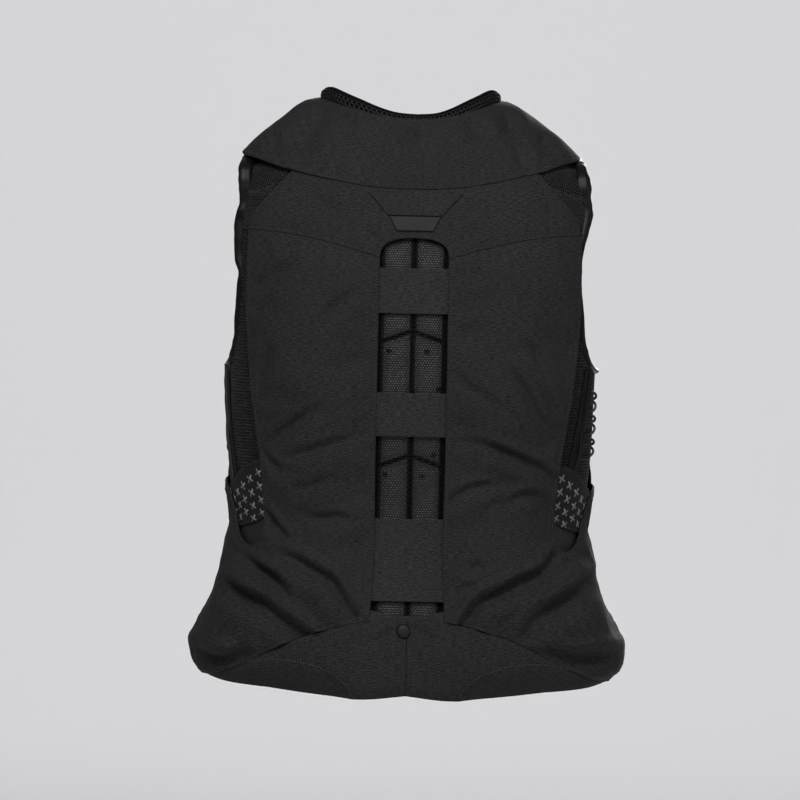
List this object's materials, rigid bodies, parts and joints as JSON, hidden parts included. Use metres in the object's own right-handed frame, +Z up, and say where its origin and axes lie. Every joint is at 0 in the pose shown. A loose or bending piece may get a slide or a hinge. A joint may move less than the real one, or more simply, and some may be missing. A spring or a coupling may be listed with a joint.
{
  "type": "airbag riding vest",
  "caption": "Black airbag riding vest in its worn form: shawl collar, padded back panels, spine window with cloth bands, mesh liner, bound armholes, shaped hem.",
  "frame": {"origin": "middle of the wearer's shoulder line, on the line between the tops of the shoulders", "axes": "+Z up along the wearer's back, -Y out of the back, +X to the wearer's right"},
  "size_m": [0.4104, 0.2628, 0.5724],
  "materials": {
    "shell_cloth": "matt charcoal-black woven cloth",
    "spacer_mesh": "black knitted spacer mesh",
    "satin_binding": "smooth satin black binding",
    "printed_tab": "dark slate cloth with a light grey reflective print",
    "label_fabric": "bare grey label cloth",
    "lace_cord": "grey braided lace",
    "snap_plastic": "satin black snap cap",
    "zip_tape": "black zip tape"
  },
  "bodies": {
    "root": {"back_yoke": "shell_cloth", "back_panel_left": "shell_cloth", "back_panel_right": "shell_cloth", "hem_panel_left": "shell_cloth", "hem_panel_right": "shell_cloth", "spine_band_upper": "shell_cloth", "spine_band_middle": "shell_cloth", "spine_band_lower": "shell_cloth", "hem_facing": "shell_cloth", "hang_tab": "shell_cloth", "label": "label_fabric", "hem_snap": "snap_plastic", "back_liner": "spacer_mesh", "side_mesh_left": "spacer_mesh", "side_mesh_right": "spacer_mesh", "shoulder_strap_left": "spacer_mesh", "shoulder_strap_right": "spacer_mesh", "armhole_binding_left": "satin_binding", "armhole_binding_right": "satin_binding", "lace_strip_left": "satin_binding", "lace_strip_right": "satin_binding", "side_lace_left": "lace_cord", "side_lace_right": "lace_cord", "side_tab_left": "printed_tab", "side_tab_right": "printed_tab", "notch_facing_left": "satin_binding", "notch_facing_right": "satin_binding", "front_panel_left": "shell_cloth", "front_panel_right": "shell_cloth", "front_zip": "zip_tape", "collar": "shell_cloth", "collar_lining": "spacer_mesh"}
  },
  "joints": []
}
